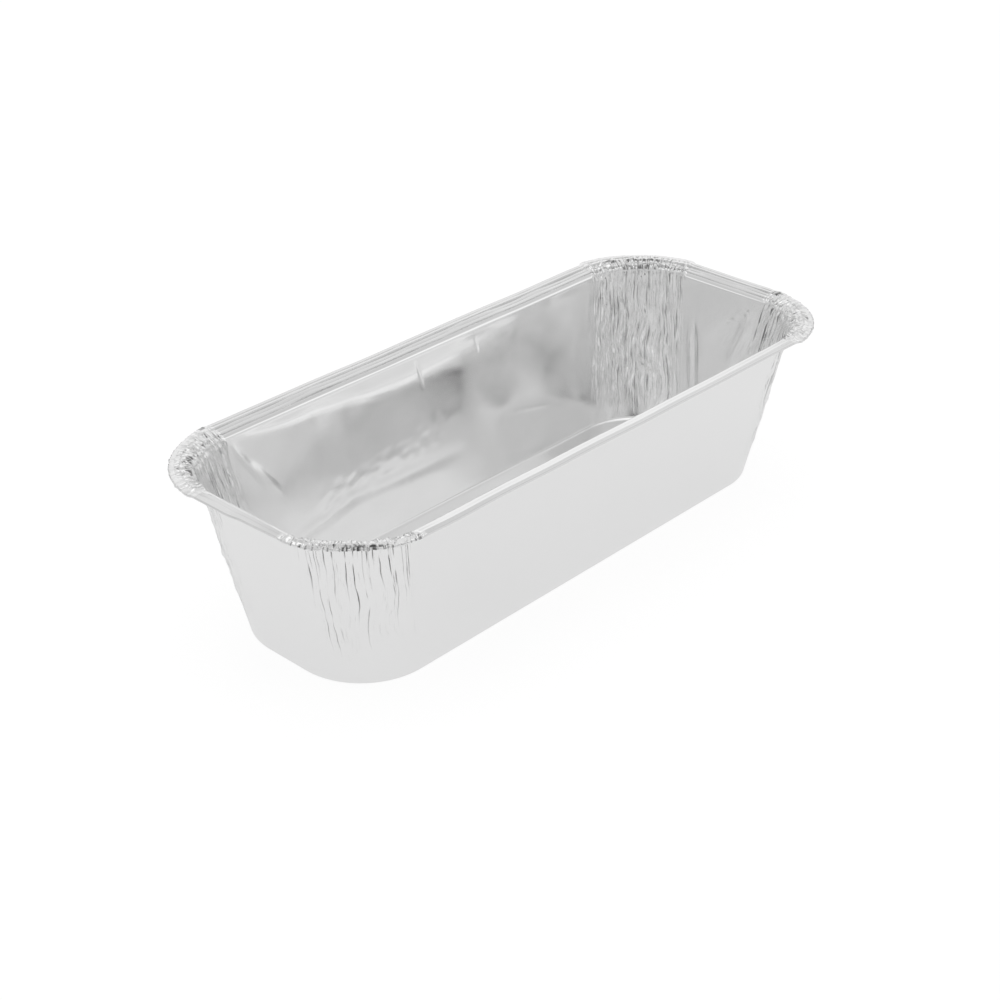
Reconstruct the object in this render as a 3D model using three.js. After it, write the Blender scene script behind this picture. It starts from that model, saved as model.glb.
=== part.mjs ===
// Foil loaf tray: one sheet of aluminium foil pressed into an oblong baking tray.
// The flat base turns up through a small heel into four flared walls. At the corners the spare
// foil is gathered into pleats. At the mouth the sheet bends out into a rising flange, and its
// edge is folded under itself as a flat hem, which stands out further at the gathered corners.
// The sheet is divided along its folds into formed regions that meet face to face.
// Millimetres, +Z up, X along the tray, origin at the centre of the base's underside.
import * as THREE from "three";

// Driving dimensions
const RIM_LENGTH = 270; // over the hems of the two ends
const RIM_WIDTH = 111; // over the hems of the two sides
const HEIGHT = 66; // underside of the base to the top of the hem
const END_FLARE = 10.9; // how far each end wall leans out from base to mouth
const SIDE_FLARE = 9.9; // how far each side wall leans out from base to mouth
const CORNER_RADIUS = 28; // in plan, outside the walls
const FOIL = 0.1; // thickness of the sheet
const HEEL_RADIUS = 1; // outside the fold between base and walls
const BEND_RADIUS = 1; // under the fold between walls and flange
const FLANGE_WIDTH = 4.4; // wall to crease
const FLANGE_RISE = 1.8; // wall to crease
const HEM_WIDTH = 3.7; // crease to outer edge
const HEM_THICKNESS = 0.9; // over both layers
const HEM_RETURN = 2.6; // how far the lower layer runs back under the upper one
const HEM_OVERHANG = 1.5; // how much wider the hem is at the corners
const PLEATS = 13; // per corner
const PLEAT_DEPTH = 0.7; // at the mouth
const PLEAT_CREST = 0.7; // share of a pleat's pitch where its crest lies
const PLEAT_FADE = 0.6; // power by which the pleats deepen from heel to mouth
const RIM_RIPPLE = 0.5; // depth of the gathers in the rim's corners

// Facets of the curved stretches
const ARC_STEPS = 8;
const HEEL_STEPS = 3;
const PLEAT_ROWS = 3;
const BEND_STEPS = 2;
const FOLD_STEPS = 4;

const MOUTH_LENGTH = RIM_LENGTH - 2 * (FLANGE_WIDTH + HEM_WIDTH);
const MOUTH_WIDTH = RIM_WIDTH - 2 * (FLANGE_WIDTH + HEM_WIDTH);
const BASE_LENGTH = MOUTH_LENGTH - 2 * END_FLARE;
const BASE_WIDTH = MOUTH_WIDTH - 2 * SIDE_FLARE;
const MOUTH_HEIGHT = HEIGHT - FLANGE_RISE - FOIL;
const WALL_TOP = MOUTH_HEIGHT - BEND_RADIUS;

const QUARTER_TURN = Math.PI / 2;
const { lerp } = THREE.MathUtils;

// The eight stretches of the tray's outline, counter-clockwise from above. A side or an end is
// straight and faces its angle. A corner turns through a quarter from its angle.
const STRAIGHTS = [
  { name: "front", facing: -QUARTER_TURN },
  { name: "right", facing: 0 },
  { name: "back", facing: QUARTER_TURN },
  { name: "left", facing: 2 * QUARTER_TURN },
];
const CORNERS = [
  { name: "front_right", from: -QUARTER_TURN },
  { name: "back_right", from: 0 },
  { name: "back_left", from: QUARTER_TURN },
  { name: "front_left", from: 2 * QUARTER_TURN },
];

// An outline of the sheet: the walls' outside carried to height z, moved out all round by `out`.
function outlineAt(z, out) {
  const share = Math.min(z, MOUTH_HEIGHT) / MOUTH_HEIGHT;
  return {
    halfLength: lerp(BASE_LENGTH, MOUTH_LENGTH, share) / 2 + out,
    halfWidth: lerp(BASE_WIDTH, MOUTH_WIDTH, share) / 2 + out,
    radius: CORNER_RADIUS + out,
  };
}

// A point of a corner's arc on an outline, at an angle, drawn in towards the arc's centre.
function arcPoint(outline, from, angle, z, drawnIn = 0) {
  const middle = from + QUARTER_TURN / 2;
  const reach = outline.radius - drawnIn;
  return new THREE.Vector3(
    Math.sign(Math.cos(middle)) * (outline.halfLength - outline.radius) + reach * Math.cos(angle),
    Math.sign(Math.sin(middle)) * (outline.halfWidth - outline.radius) + reach * Math.sin(angle),
    z,
  );
}

// A straight stretch's two ends are the ends of the corner arcs beside it.
function straightRow(straight, { z, out }) {
  const outline = outlineAt(z, out);
  return [
    arcPoint(outline, straight.facing - QUARTER_TURN, straight.facing, z),
    arcPoint(outline, straight.facing, straight.facing, z),
  ];
}

// A corner's arc in plain steps.
function arcRow(corner, { z, out }) {
  const outline = outlineAt(z, out);
  return Array.from({ length: ARC_STEPS + 1 }, (_, i) =>
    arcPoint(outline, corner.from, corner.from + (i / ARC_STEPS) * QUARTER_TURN, z),
  );
}

// A corner's arc through its pleats: two points a pleat, its valley and its crest.
// At a crest the sheet is drawn in by `pleat` and lowered by `ripple`.
function pleatedRow(corner, { z, out, pleat = 0, ripple = 0 }) {
  const outline = outlineAt(z, out);
  return Array.from({ length: 2 * PLEATS + 1 }, (_, i) => {
    const crest = i % 2;
    const turn = (Math.floor(i / 2) + crest * PLEAT_CREST) / PLEATS;
    const angle = corner.from + turn * QUARTER_TURN;
    return arcPoint(outline, corner.from, angle, z - crest * ripple, crest * pleat);
  });
}

// Closes the two skins of a piece of sheet into one solid. Each skin is rows of points that run
// out and up the tray, and each row runs counter-clockwise round it.
function sheetGeometry(outside, inside) {
  const rows = outside.length;
  const columns = outside[0].length;
  const points = [...outside.flat(), ...inside.flat()];
  const outer = (i, j) => i * columns + j;
  const inner = (i, j) => rows * columns + outer(i, j);
  const triangles = [];
  const quad = (a, b, c, d) => triangles.push(a, b, c, a, c, d);
  for (let i = 0; i + 1 < rows; i++) {
    for (let j = 0; j + 1 < columns; j++) {
      quad(outer(i, j), outer(i, j + 1), outer(i + 1, j + 1), outer(i + 1, j));
      quad(inner(i, j), inner(i + 1, j), inner(i + 1, j + 1), inner(i, j + 1));
    }
  }
  const top = rows - 1;
  const end = columns - 1;
  for (let j = 0; j + 1 < columns; j++) {
    quad(outer(0, j), inner(0, j), inner(0, j + 1), outer(0, j + 1));
    quad(outer(top, j), outer(top, j + 1), inner(top, j + 1), inner(top, j));
  }
  for (let i = 0; i + 1 < rows; i++) {
    quad(outer(i, 0), outer(i + 1, 0), inner(i + 1, 0), inner(i, 0));
    quad(outer(i, end), inner(i, end), inner(i + 1, end), outer(i + 1, end));
  }
  const geometry = new THREE.BufferGeometry().setFromPoints(points);
  geometry.setIndex(triangles);
  geometry.computeVertexNormals();
  return geometry;
}

// A band of the sheet is a list of stations from its lower or inner edge to its upper or outer
// one. Each station has a place on the outside skin and one on the inside skin.

// The heel turns a quarter from the base to the walls' slope.
function heelBand() {
  return Array.from({ length: HEEL_STEPS + 1 }, (_, i) => {
    const turn = (i / HEEL_STEPS) * QUARTER_TURN;
    const skin = (radius, offset) => ({
      z: offset + radius * (1 - Math.cos(turn)),
      out: -offset - radius * (1 - Math.sin(turn)),
    });
    return { outside: skin(HEEL_RADIUS, 0), inside: skin(HEEL_RADIUS - FOIL, FOIL) };
  });
}

// The walls rise straight from the heel to the bend, and the pleats deepen on the way.
function wallBand(rows) {
  return Array.from({ length: rows + 1 }, (_, i) => {
    const share = i / rows;
    const z = lerp(HEEL_RADIUS, WALL_TOP, share);
    const pleat = PLEAT_DEPTH * share ** PLEAT_FADE;
    return { outside: { z, out: 0, pleat }, inside: { z, out: -FOIL, pleat } };
  });
}

// The flange bends out of the walls and rises to the crease. The pleats flatten into gathers.
function flangeBand() {
  const station = (bendOut, bendUp, straightOut) => {
    const skin = (radius, offset) => {
      const out = straightOut + bendOut * radius - offset;
      const share = (out + offset) / (FLANGE_WIDTH + offset);
      return {
        z: WALL_TOP + bendUp * radius + FLANGE_RISE * share,
        out,
        pleat: PLEAT_DEPTH * (1 - share),
        ripple: RIM_RIPPLE * share,
      };
    };
    return { outside: skin(BEND_RADIUS, 0), inside: skin(BEND_RADIUS + FOIL, FOIL) };
  };
  const bend = Array.from({ length: BEND_STEPS + 1 }, (_, i) => {
    const turn = (i / BEND_STEPS) * QUARTER_TURN;
    return station(1 - Math.cos(turn), Math.sin(turn), 0);
  });
  return [...bend, station(1, 1, FLANGE_WIDTH - BEND_RADIUS)];
}

// The hem runs out from the crease, folds round and runs back under itself.
function hemBand(width) {
  const foldRadius = HEM_THICKNESS / 2;
  const foldOut = FLANGE_WIDTH + width - foldRadius;
  const foldZ = HEIGHT - foldRadius;
  const station = (out, up, reach) => {
    const skin = (radius) => ({ z: foldZ + up * radius, out: out + reach * radius, ripple: RIM_RIPPLE });
    return { outside: skin(foldRadius - FOIL), inside: skin(foldRadius) };
  };
  const fold = Array.from({ length: FOLD_STEPS + 1 }, (_, i) => {
    const turn = (i / FOLD_STEPS) * 2 * QUARTER_TURN;
    return station(foldOut, Math.cos(turn), Math.sin(turn));
  });
  return [station(FLANGE_WIDTH, 1, 0), ...fold, station(FLANGE_WIDTH + width - HEM_RETURN, -1, 0)];
}

// Finishes of the bright rolled foil: smooth panels, gathered corners, pressed rim.
const PANEL_FINISH = { color: 0xe4e5e6, roughness: 0.2, metalness: 1 };
const PLEAT_FINISH = { color: 0xdedfe0, roughness: 0.26, metalness: 1 };
const RIM_FINISH = { color: 0xe6e7e8, roughness: 0.22, metalness: 1 };

const tray = new THREE.Group();

function addMesh(name, geometry, finish) {
  const mesh = new THREE.Mesh(geometry, new THREE.MeshStandardMaterial(finish));
  mesh.name = name;
  tray.add(mesh);
}

function addRegion(name, stretch, band, row, finish) {
  const outside = band.map((station) => row(stretch, station.outside));
  const inside = band.map((station) => row(stretch, station.inside));
  addMesh(name, sheetGeometry(outside, inside), finish);
}

// The flat base reaches to where the heel starts to turn up.
const baseOutline = CORNERS.flatMap((corner) => arcRow(corner, { z: 0, out: -HEEL_RADIUS }));
const baseShape = new THREE.Shape(baseOutline.map(({ x, y }) => new THREE.Vector2(x, y)));
const baseGeometry = new THREE.ExtrudeGeometry(baseShape, { depth: FOIL, bevelEnabled: false });
addMesh("base_panel", baseGeometry, PANEL_FINISH);

for (const straight of STRAIGHTS) {
  addRegion(`heel_${straight.name}`, straight, heelBand(), straightRow, PANEL_FINISH);
  addRegion(`wall_${straight.name}`, straight, wallBand(1), straightRow, PANEL_FINISH);
  addRegion(`flange_${straight.name}`, straight, flangeBand(), straightRow, RIM_FINISH);
  addRegion(`hem_${straight.name}`, straight, hemBand(HEM_WIDTH), straightRow, RIM_FINISH);
}

for (const corner of CORNERS) {
  addRegion(`heel_corner_${corner.name}`, corner, heelBand(), arcRow, PANEL_FINISH);
  addRegion(`pleats_${corner.name}`, corner, wallBand(PLEAT_ROWS), pleatedRow, PLEAT_FINISH);
  addRegion(`flange_corner_${corner.name}`, corner, flangeBand(), pleatedRow, PLEAT_FINISH);
  addRegion(`hem_corner_${corner.name}`, corner, hemBand(HEM_WIDTH + HEM_OVERHANG), pleatedRow, RIM_FINISH);
}

export default tray;
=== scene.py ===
# %% [markdown]
# # A foil loaf tray
# The tray is one sheet of bright aluminium foil, a tenth of a millimetre thick, pressed into an
# oblong bowl. Its frame gives the true sizes as plain solids. This script makes the sheet that the
# eye sees: walls that are not quite flat, corners gathered into pleats, and a rim whose edge is
# folded under. A mirror shows every small error of shape, so nearly all of the look is geometry.

import math

import bpy
import numpy as np
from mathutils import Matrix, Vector


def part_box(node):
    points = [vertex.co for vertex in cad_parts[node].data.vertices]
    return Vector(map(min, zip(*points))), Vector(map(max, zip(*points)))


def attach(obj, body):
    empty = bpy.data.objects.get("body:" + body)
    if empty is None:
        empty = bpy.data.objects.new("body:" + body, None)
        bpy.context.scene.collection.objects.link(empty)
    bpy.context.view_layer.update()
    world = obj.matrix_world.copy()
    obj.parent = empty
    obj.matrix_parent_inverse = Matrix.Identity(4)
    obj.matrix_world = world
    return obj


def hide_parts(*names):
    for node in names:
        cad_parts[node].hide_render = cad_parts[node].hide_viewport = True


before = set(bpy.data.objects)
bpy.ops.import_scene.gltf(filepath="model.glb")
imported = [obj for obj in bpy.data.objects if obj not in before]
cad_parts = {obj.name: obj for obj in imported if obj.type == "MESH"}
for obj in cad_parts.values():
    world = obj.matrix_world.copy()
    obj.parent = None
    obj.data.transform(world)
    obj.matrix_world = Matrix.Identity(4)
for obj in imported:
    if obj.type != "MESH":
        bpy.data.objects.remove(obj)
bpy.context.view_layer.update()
MM = 0.001

# %% [markdown]
# ## Sizes
# Every size that the frame holds is read from the boxes of its solids, so the sheet follows the
# solids if they are changed. The rest are small forms that the boxes can't show: how softly the
# wall bends out into the rim, and a crease that lies a little further out than in the solids.

# %% Read the sizes
def box_mm(node):
    """The lowest and highest corner of a solid, in millimetres."""
    low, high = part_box(node)
    return np.array(low) / MM, np.array(high) / MM


FOIL = box_mm("base_panel")[1][2]
HEIGHT = box_mm("hem_front")[1][2]
SOLID_HEM_WIDTH, HEM_THICKNESS = np.ptp(box_mm("hem_front"), axis=0)[1:]
SOLID_CREASE = box_mm("hem_back")[0][1]
STRAIGHT_HALF_WIDTH = box_mm("hem_right")[1][1]
HEEL_RADIUS = box_mm("wall_back")[0][2]
SOLID_WALL_TOP = box_mm("wall_back")[1][2]
BASE_HALF_LENGTH = box_mm("base_panel")[1][0] + HEEL_RADIUS
BASE_HALF_WIDTH = box_mm("base_panel")[1][1] + HEEL_RADIUS
WALL_RISE = SOLID_WALL_TOP - HEEL_RADIUS
SIDE_SLOPE = (box_mm("wall_back")[1][1] - box_mm("heel_back")[1][1]) / WALL_RISE
END_SLOPE = (box_mm("wall_right")[1][0] - box_mm("heel_right")[1][0]) / WALL_RISE

SOLID_BEND_RADIUS = 1.0
BEND_RADIUS = 1.5
CREASE_SHIFT = 0.6
MOUTH_HEIGHT = SOLID_WALL_TOP + SOLID_BEND_RADIUS
WALL_TOP = MOUTH_HEIGHT - BEND_RADIUS
FLANGE_RISE = HEIGHT - FOIL - MOUTH_HEIGHT
MOUTH_HALF_WIDTH = BASE_HALF_WIDTH + SIDE_SLOPE * MOUTH_HEIGHT
FLANGE_WIDTH = SOLID_CREASE - MOUTH_HALF_WIDTH + CREASE_SHIFT
HEM_WIDTH = SOLID_HEM_WIDTH - CREASE_SHIFT
CORNER_RADIUS = MOUTH_HALF_WIDTH - STRAIGHT_HALF_WIDTH
print("mouth half width %.2f, corner radius %.2f, flange %.2f + hem %.2f mm"
      % (MOUTH_HALF_WIDTH, CORNER_RADIUS, FLANGE_WIDTH, HEM_WIDTH))

# %% [markdown]
# ## The camera
# The camera stands where the photograph was taken: these five values were fitted to the tray's
# outline. It looks a little down on the near corner through a long lens.

# %% Place the camera
CAMERA_AZIMUTH = math.radians(-47.004)
CAMERA_ELEVATION = math.radians(29.760)
CAMERA_DISTANCE = 0.69712
CAMERA_TARGET = Vector((-0.00924, -0.00099, 0.0200))
CAMERA_LENS = 66.46
SENSOR_WIDTH = 36

camera = bpy.data.objects.new("camera", bpy.data.cameras.new("camera"))
bpy.context.scene.collection.objects.link(camera)
bpy.context.scene.camera = camera
towards_camera = Vector((
    math.sin(CAMERA_AZIMUTH) * math.cos(CAMERA_ELEVATION),
    -math.cos(CAMERA_AZIMUTH) * math.cos(CAMERA_ELEVATION),
    math.sin(CAMERA_ELEVATION),
))
camera.data.lens = CAMERA_LENS
camera.data.sensor_width = SENSOR_WIDTH
camera.location = CAMERA_TARGET + CAMERA_DISTANCE * towards_camera
camera.rotation_euler = (-towards_camera).to_track_quat("-Z", "Y").to_euler()
print("camera at", [round(value, 4) for value in camera.location])

# %% [markdown]
# ## Colours and nodes
# Colours are written as sRGB hex values, as a paint program shows them, and one function turns
# them into the linear numbers that the shaders want. One more function adds a shader node with
# its settings and links, so that a material reads as a short list.

# %% Helpers for materials
def linear(hex_colour):
    """An sRGB hex colour as linear red, green, blue and a full alpha."""
    channels = np.array([int(hex_colour[i:i + 2], 16) for i in (1, 3, 5)]) / 255
    low = channels / 12.92
    high = ((channels + 0.055) / 1.055) ** 2.4
    return (*np.where(channels <= 0.04045, low, high), 1.0)


def add_node(tree, kind, settings=None, inputs=None, links=None):
    """A node of that kind, with its settings, its socket values and its links from other sockets."""
    node = tree.nodes.new(kind)
    for name, value in (settings or {}).items():
        setattr(node, name, value)
    for name, value in (inputs or {}).items():
        node.inputs[name].default_value = value
    for name, socket in (links or {}).items():
        tree.links.new(socket, node.inputs[name])
    return node


print("mid grey in linear light: %.3f" % linear("#808080")[0])

# %% [markdown]
# ## The foil
# Household and bakeware foil is aluminium rolled between polished steel rolls. The metal is almost
# neutral in colour and reflects most of the light, so it takes its tone from what stands round it.
# The rolls leave fine lines in one direction, which spread a highlight a little. The lines run
# along the blank that the tray was pressed from, so they follow a UV map that lays each piece of
# the sheet back out flat, in metres. Real roll lines are about 0.05 mm apart. They are drawn at
# 0.5 mm, as fine as the picture can show. Little light comes out of a sharp, deep fold, so a point
# attribute from 0 to 1 mixes a dark grey in there as painted shade. The rim's copy of the foil is
# painted a little darker, as shade that tones down the light it mirrors.

# %% Make the foil materials
ROLL_LINE_SPACING = 0.5 * MM
ROLL_LINE_LENGTH = 60 * MM
ROLL_LINE_HEIGHT = 0.003 * MM
HAZE_PATCH = 14 * MM
# Dark grey for painted shade in deep folds, in the rim's gutters and on its folded edge
PAINTED_SHADE_COLOUR = "#5C5C5C"


def foil_material(name, colour, roughness):
    """Bright rolled aluminium: hazy patches in its tone and gloss, roll lines along the blank, and a dark
    grey mixed in as painted shade by a point attribute. `colour` and `roughness` each give the two ends
    of the haze."""
    material = bpy.data.materials.new(name)
    material.use_nodes = True
    tree = material.node_tree
    tree.nodes.clear()
    blank = add_node(tree, "ShaderNodeUVMap", {"uv_map": "blank"}).outputs["UV"]
    stretched = add_node(
        tree, "ShaderNodeMapping",
        inputs={"Scale": (1 / ROLL_LINE_LENGTH, 1 / ROLL_LINE_SPACING, 1)}, links={"Vector": blank},
    ).outputs["Vector"]
    lines = add_node(
        tree, "ShaderNodeTexNoise", inputs={"Scale": 1.0, "Detail": 2.0, "Roughness": 0.6},
        links={"Vector": stretched},
    ).outputs["Fac"]
    bump = add_node(
        tree, "ShaderNodeBump", inputs={"Strength": 1.0, "Distance": ROLL_LINE_HEIGHT},
        links={"Height": lines},
    ).outputs["Normal"]
    place = add_node(tree, "ShaderNodeTexCoord").outputs["Object"]
    haze = add_node(
        tree, "ShaderNodeTexNoise", inputs={"Scale": 1 / HAZE_PATCH, "Detail": 4.0, "Roughness": 0.55},
        links={"Vector": place},
    ).outputs["Fac"]
    gloss = add_node(
        tree, "ShaderNodeMapRange",
        inputs={"From Min": 0.3, "From Max": 0.7, "To Min": roughness[0], "To Max": roughness[1]},
        links={"Value": haze},
    ).outputs["Result"]
    tone = add_node(
        tree, "ShaderNodeMix", {"data_type": "RGBA"},
        {"A": linear(colour[0]), "B": linear(colour[1])}, {"Factor": haze},
    ).outputs["Result"]
    # Painted shade: a point attribute mixes the tone towards the dark grey
    painted_shade = add_node(tree, "ShaderNodeAttribute", {"attribute_name": "painted_shade"}).outputs["Fac"]
    shaded_tone = add_node(
        tree, "ShaderNodeMix", {"data_type": "RGBA"}, {"B": linear(PAINTED_SHADE_COLOUR)},
        {"Factor": painted_shade, "A": tone},
    ).outputs["Result"]
    surface = add_node(
        tree, "ShaderNodeBsdfPrincipled", inputs={"Metallic": 1.0},
        links={"Base Color": shaded_tone, "Roughness": gloss, "Normal": bump},
    )
    add_node(tree, "ShaderNodeOutputMaterial", links={"Surface": surface.outputs["BSDF"]})
    return material


FOIL_FINISHES = {
    "foil_panel": foil_material("rolled_aluminium_foil", ("#F8F8F8", "#FAFAFA"), (0.12, 0.18)),
    "foil_pleats": foil_material("gathered_aluminium_foil", ("#F8F8F8", "#FAFAFA"), (0.12, 0.18)),
    # The rim's tone is painted darker than the walls', as shade that tones down the bright tent it mirrors
    "foil_rim": foil_material("rim_foil_with_painted_shade", ("#F0F0F0", "#F3F3F3"), (0.10, 0.16)),
}
print("materials:", [material.name for material in FOIL_FINISHES.values()])

# %% [markdown]
# ## One outline for the whole sheet
# Seen from above, every level of the tray is a rectangle with round corners. A point runs round it
# by a lap value from 0 to 8: even stretches are the straight front, right, back and left, and odd
# ones are the corners between them. On a straight stretch the centre of the turn slides along and
# the facing stays, and at a corner the centre stays and the facing turns a quarter. The walls lean
# out, so the centres move out with height while the radius stays.

# %% Define the outline
LAPS = np.arange(9)
CENTRE_X = np.array([-1, 1, 1, 1, 1, -1, -1, -1, -1])
CENTRE_Y = np.array([-1, -1, -1, 1, 1, 1, 1, -1, -1])
FACING = np.radians([-90, -90, 0, 0, 90, 90, 180, 180, 270])
STRETCHES = ["front", "front_right", "right", "back_right", "back", "back_left", "left", "front_left"]


def sheet_points(lap, out, z):
    """Points of the sheet, in millimetres: centre of turn at that height, plus radius and `out`
    along the facing. `out` is counted from the wall's slope carried to height z."""
    height = np.minimum(z, MOUTH_HEIGHT)
    facing = np.interp(lap, LAPS, FACING)
    reach = CORNER_RADIUS + out
    along_x = BASE_HALF_LENGTH + END_SLOPE * height - CORNER_RADIUS
    along_y = BASE_HALF_WIDTH + SIDE_SLOPE * height - CORNER_RADIUS
    x = np.interp(lap, LAPS, CENTRE_X) * along_x + reach * np.cos(facing)
    y = np.interp(lap, LAPS, CENTRE_Y) * along_y + reach * np.sin(facing)
    return np.stack(np.broadcast_arrays(x, y, z), axis=-1)


print("middle of the front wall at the mouth, in mm:", sheet_points(0.5, 0, MOUTH_HEIGHT).round(1))

# %% [markdown]
# ## The profile
# Cut across a wall, the sheet is a line: it leaves the base, turns up through the heel, climbs the
# wall, bends out into the flange and rises to the crease. There the hem starts: it runs to the edge,
# folds round and comes back underneath. The rim rises partly in small steps, each with a gutter
# before it, which the far rim shows as thin dark lines. The profile is this line as rows of `out`
# and height, close together where it turns and beside each step.

# %% Lay out the profile
HEEL_ROWS = 8
WALL_ROWS = 88
BEND_ROWS = 8
FOLD_ROWS = 8
RETURN_ROWS = 3
RIM_STEP = 0.35
HEM_RETURN = 2.4
FOLD_RADIUS = HEM_THICKNESS / 2
# Steps up the rim: place from the bend, height, and depth of the gutter before it
STEPS = [
    (1.7, 0.3, 0.25), (3.3, 0.12, 0.1), (FLANGE_WIDTH, 0.45, 0.32), (FLANGE_WIDTH + 1.4, 0.1, 0.1),
]
GUTTER_WIDTH = 0.5
# Places of rows beside each step
BESIDE_STEP = np.array([-GUTTER_WIDTH, -0.27, -0.05, -0.04, -0.034, 0, 0.034, 0.04, 0.05, 0.25])


def profile_rows():
    """`out`, height and share of the corners' overhang for each row of the sheet's outside skin."""
    turn = np.linspace(0, math.pi / 2, HEEL_ROWS + 1)
    heel_out = -HEEL_RADIUS * (1 - np.sin(turn))
    heel_z = HEEL_RADIUS * (1 - np.cos(turn))
    wall_z = np.linspace(HEEL_RADIUS, WALL_TOP, WALL_ROWS + 1)[1:]
    bend = np.linspace(0, math.pi / 2, BEND_ROWS + 1)[1:]
    fold_start = HEM_WIDTH - FOLD_RADIUS
    places = np.concatenate([place + BESIDE_STEP for place, _, _ in STEPS])
    even = np.arange(2 * BEND_RADIUS, FLANGE_WIDTH + fold_start, RIM_STEP)
    even = even[np.abs(even[:, None] - places).min(axis=1) > RIM_STEP / 3]
    top_out = np.sort(np.concatenate([places, even, [FLANGE_WIDTH + fold_start]]))
    flange_out = top_out[top_out <= FLANGE_WIDTH]
    hem_run = top_out[top_out > FLANGE_WIDTH] - FLANGE_WIDTH
    rise_out = np.concatenate([BEND_RADIUS * (1 - np.cos(bend)), flange_out])
    rise_z = WALL_TOP + BEND_RADIUS * np.concatenate([np.sin(bend), np.ones(len(flange_out))])
    rise_z = rise_z + FLANGE_RISE * rise_out / FLANGE_WIDTH
    inner_radius = FOLD_RADIUS - FOIL
    fold = np.linspace(0, math.pi, FOLD_ROWS + 1)[1:]
    hem_back = np.linspace(fold_start, HEM_WIDTH - HEM_RETURN, RETURN_ROWS + 1)[1:]
    hem_out = np.concatenate([hem_run, fold_start + inner_radius * np.sin(fold), hem_back])
    hem_up = np.concatenate([np.ones(len(hem_run)), np.cos(fold), -np.ones(RETURN_ROWS)])
    out = np.concatenate([heel_out, np.zeros(WALL_ROWS), rise_out, FLANGE_WIDTH + hem_out])
    z = np.concatenate([heel_z, wall_z, rise_z, HEIGHT - FOLD_RADIUS + inner_radius * hem_up])
    overhang = np.concatenate([hem_run / fold_start, np.ones(FOLD_ROWS + RETURN_ROWS)])
    return out, z, np.concatenate([np.zeros(len(out) - len(overhang)), overhang])


PROFILE_OUT, PROFILE_Z, PROFILE_OVERHANG = profile_rows()
RIM_ROW = HEEL_ROWS + WALL_ROWS
TOP_ROWS = len(PROFILE_OUT) - FOLD_ROWS - RETURN_ROWS
# A wall piece and a rim piece share the row where the bend starts
WALL_PART = slice(0, RIM_ROW + 1)
RIM_PART = slice(RIM_ROW, None)
# Length of sheet from the start of the heel to each row
SHEET_LENGTH = np.concatenate([[0], np.cumsum(np.hypot(np.diff(PROFILE_OUT), np.diff(PROFILE_Z)))])
print("profile rows:", len(PROFILE_OUT), "of which wall and heel:", RIM_ROW + 1)

# %% [markdown]
# ## A rim that strays
# The press does not leave the rim the same all round. The hem is wider at three corners. A hand has
# pulled the mouth in at the near corner and along the left part of the front, and there the hem is
# narrower and bent down. It droops a little along the front and the left end, and rises along the
# right end and the back. The crease drifts out along the front and in along the left end. Each
# such change is a short list of laps and amounts, with an even curve between them. Where the hem
# is narrow, its return is cut short to keep clear of the flange.

# %% Let the rim stray
# Each list gives laps and millimetres
HEM_WIDER = [
    (0, -0.8), (0.1, -0.4), (0.9, -0.4), (1.02, 0), (1.06, 0.9), (1.94, 0.9), (1.98, 0),
    (3.02, 0), (3.06, 1.4), (3.94, 1.4), (3.98, 0), (5.02, 0), (5.06, 0.7), (5.94, 0.7), (5.98, 0),
    (6.4, 0), (6.6, -0.9), (7.2, -1.8), (7.8, -1.8), (8, -0.8),
]
HEM_DROOP = [
    (0, 0.4), (0.2, 0.15), (0.8, 0.15), (1, 0.3), (1.2, 0.4), (1.8, 0.2), (2.1, -0.25), (3, -0.25),
    (3.5, 0), (4, -0.3), (5, -0.3), (5.3, 0.3), (6, 0.3), (7, 0.4), (7.25, 1.3), (7.75, 1.3), (8, 0.4),
]
CREASE_DRIFT = [
    (0, 0.6), (0.1, 0.9), (0.9, 0.9), (1.2, 0), (5.9, 0), (6.1, -1.3), (7, -1.3), (7.4, 0), (8, 0.6),
]
MOUTH_PULL = [
    (0, 1.3), (0.15, 1.3), (0.33, 0.8), (0.6, 0.2), (0.75, 0), (7, 0), (7.48, 3.2), (8, 1.3),
]
RETURN_CLEARANCE = 0.4
LEAST_RETURN = 0.1
# Share of each row in a drift of the crease: all at the crease, none at the bend and the edge
PROFILE_CREASE = np.interp(
    PROFILE_OUT,
    [2.2, FLANGE_WIDTH - 0.6, FLANGE_WIDTH + 0.3, FLANGE_WIDTH + HEM_WIDTH - FOLD_RADIUS],
    [0, 1, 1, 0],
)
PROFILE_CREASE[TOP_ROWS:] = 0


def eased(place, stops):
    """A value that eases from stop to stop, given as (place, value)."""
    places, values = np.array(stops).T
    left = np.clip(np.searchsorted(places, place, side="right") - 1, 0, len(places) - 2)
    share = np.clip((place - places[left]) / (places[left + 1] - places[left]), 0, 1)
    return values[left] + (values[left + 1] - values[left]) * share * share * (3 - 2 * share)


def stray_rim(lap, out, z):
    """`out` and height of a grid with the rim's changes at the laps of its columns: each list's
    amount times the row's share in it, and the hem's return drawn towards its fold."""
    out = out + PROFILE_OVERHANG[:, None] * eased(lap, HEM_WIDER)
    out = out + PROFILE_CREASE[:, None] * eased(lap, CREASE_DRIFT)
    first, last = out[-RETURN_ROWS].copy(), out[-1].copy()
    kept = np.clip((first - FLANGE_WIDTH - RETURN_CLEARANCE) / (first - last), LEAST_RETURN, 1)
    out[-RETURN_ROWS:] = first + (out[-RETURN_ROWS:] - first) * kept
    pulled = np.clip(PROFILE_Z / MOUTH_HEIGHT, 0, 1)[:, None]
    return out - pulled * eased(lap, MOUTH_PULL), z - PROFILE_OVERHANG[:, None] * eased(lap, HEM_DROOP)


print("hem at the near corner: %.1f mm in, %.1f mm down" % (-eased(7.5, HEM_WIDER), eased(7.5, HEM_DROOP)))

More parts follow.
